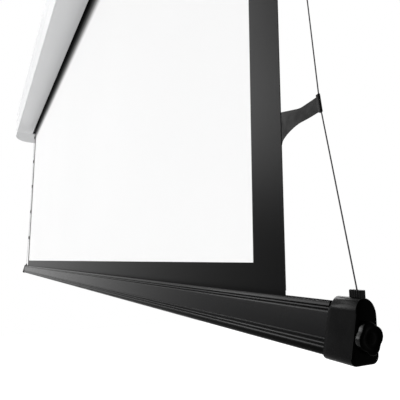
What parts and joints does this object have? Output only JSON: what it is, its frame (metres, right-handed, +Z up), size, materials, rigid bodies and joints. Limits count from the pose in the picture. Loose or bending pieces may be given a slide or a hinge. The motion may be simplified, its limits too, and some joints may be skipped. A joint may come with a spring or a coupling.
{
  "type": "motorized projector screen",
  "caption": "Tensioned motorized projector screen: a long wall case with a motor roller, a white sheet in a black border held flat by side cords on tabs, and a weight bar.",
  "frame": {"origin": "centre of the back face of the case, which lies on the wall", "axes": "+X along the screen to the viewer's right, +Y into the wall, +Z up; the viewer is on the -Y side"},
  "size_m": [2.9431, 0.14, 1.1075],
  "materials": {
    "case_paint": "satin light grey powder coat",
    "cover_paint": "satin light grey powder coat",
    "housing_plastic": "fine-textured light grey moulding",
    "zinc_plate": "zinc plate",
    "steel": "mill finish",
    "tube_metal": "mill finish",
    "motor_metal": "drawn tube",
    "white_plastic": "moulded",
    "brass": "turned brass",
    "grey_plastic": "moulded",
    "black_rubber": "cable jacket",
    "white_screen": "matte white projection face",
    "black_screen": "matte black border film",
    "cord": "thin dark braided cord",
    "bar_paint": "satin black",
    "black_plastic": "smooth black moulding"
  },
  "bodies": {
    "case": {"case_shell": "case_paint", "case_bottom_cover": "cover_paint", "end_housing_left": "housing_plastic", "end_housing_right": "housing_plastic", "plate_screw_left": "zinc_plate", "plate_screw_right": "zinc_plate", "housing_screw_left": "zinc_plate", "housing_screw_right": "zinc_plate", "cover_screw_left": "zinc_plate", "cover_screw_right": "zinc_plate", "idler_plate": "steel", "motor_plate": "steel", "motor_tube": "motor_metal", "motor_head": "white_plastic", "idler_shaft": "steel", "power_inlet": "black_plastic", "control_socket": "grey_plastic", "control_box": "grey_plastic", "motor_lead": "black_rubber", "viewing_surface": "white_screen", "black_border": "black_screen", "tab_strip_left": "black_screen", "tab_strip_right": "black_screen", "tension_cord_left": "cord", "tension_cord_right": "cord", "cord_clip_left_1": "black_plastic", "cord_clip_left_2": "black_plastic", "cord_clip_left_3": "black_plastic", "cord_clip_left_4": "black_plastic", "cord_clip_left_5": "black_plastic", "cord_clip_right_1": "black_plastic", "cord_clip_right_2": "black_plastic", "cord_clip_right_3": "black_plastic", "cord_clip_right_4": "black_plastic", "cord_clip_right_5": "black_plastic"},
    "roller": {"roller_tube": "tube_metal", "fabric_roll": "black_screen", "cord_spool_left": "black_plastic", "cord_spool_right": "black_plastic", "crown_ring": "grey_plastic", "drive_wheel": "grey_plastic", "idler_plug": "grey_plastic", "idler_bearing": "brass"},
    "bottom_bar": {"bar_extrusion": "bar_paint", "hem_rod": "steel", "ballast_rod": "steel", "bar_cap_left": "black_plastic", "bar_cap_right": "black_plastic", "cord_guide_left": "black_plastic", "cord_guide_right": "black_plastic"},
    "knob_left": {"tension_knob_left": "black_plastic"},
    "knob_right": {"tension_knob_right": "black_plastic"},
    "limit_up": {"limit_screw_up": "brass"},
    "limit_down": {"limit_screw_down": "brass"},
    "bracket_left": {"wall_bracket_left": "zinc_plate", "clamp_bolt_left": "zinc_plate"},
    "bracket_right": {"wall_bracket_right": "zinc_plate", "clamp_bolt_right": "zinc_plate"}
  },
  "joints": [
    {"name": "roller_spin", "type": "hinge", "parent": "case", "child": "roller", "pos_m": [0, -0.085, 0.01], "axis": [1, 0, 0], "range_deg": [0, 1110]},
    {"name": "screen_lift", "type": "slide", "parent": "case", "child": "bottom_bar", "axis": [0, 0, 1], "range_m": [0, 0.795], "deforming": ["viewing_surface", "black_border", "tab_strip_left", "tab_strip_right", "tension_cord_left", "tension_cord_right", "cord_clip_left_1", "cord_clip_left_2", "cord_clip_left_3", "cord_clip_left_4", "cord_clip_left_5", "cord_clip_right_1", "cord_clip_right_2", "cord_clip_right_3", "cord_clip_right_4", "cord_clip_right_5"]},
    {"name": "knob_turn_left", "type": "hinge", "parent": "bottom_bar", "child": "knob_left", "pos_m": [-1.252, -0.048, -0.923], "axis": [1, 0, 0], "range_deg": [-720, 720]},
    {"name": "knob_turn_right", "type": "hinge", "parent": "bottom_bar", "child": "knob_right", "pos_m": [1.252, -0.048, -0.923], "axis": [1, 0, 0], "range_deg": [-720, 720]},
    {"name": "limit_up_turn", "type": "hinge", "parent": "case", "child": "limit_up", "pos_m": [-1.275, -0.097, -0.005], "axis": [1, 0, 0], "range_deg": [-1800, 1800]},
    {"name": "limit_down_turn", "type": "hinge", "parent": "case", "child": "limit_down", "pos_m": [-1.275, -0.073, -0.005], "axis": [1, 0, 0], "range_deg": [-1800, 1800]},
    {"name": "bracket_slide_left", "type": "slide", "parent": "case", "child": "bracket_left", "axis": [1, 0, 0], "range_m": [-0.15, 0.15]},
    {"name": "bracket_slide_right", "type": "slide", "parent": "case", "child": "bracket_right", "axis": [1, 0, 0], "range_m": [-0.15, 0.15]}
  ],
  "couplings": [
    {"joint": "screen_lift", "follows": "roller_spin", "m_per_rad": 0.041}
  ]
}
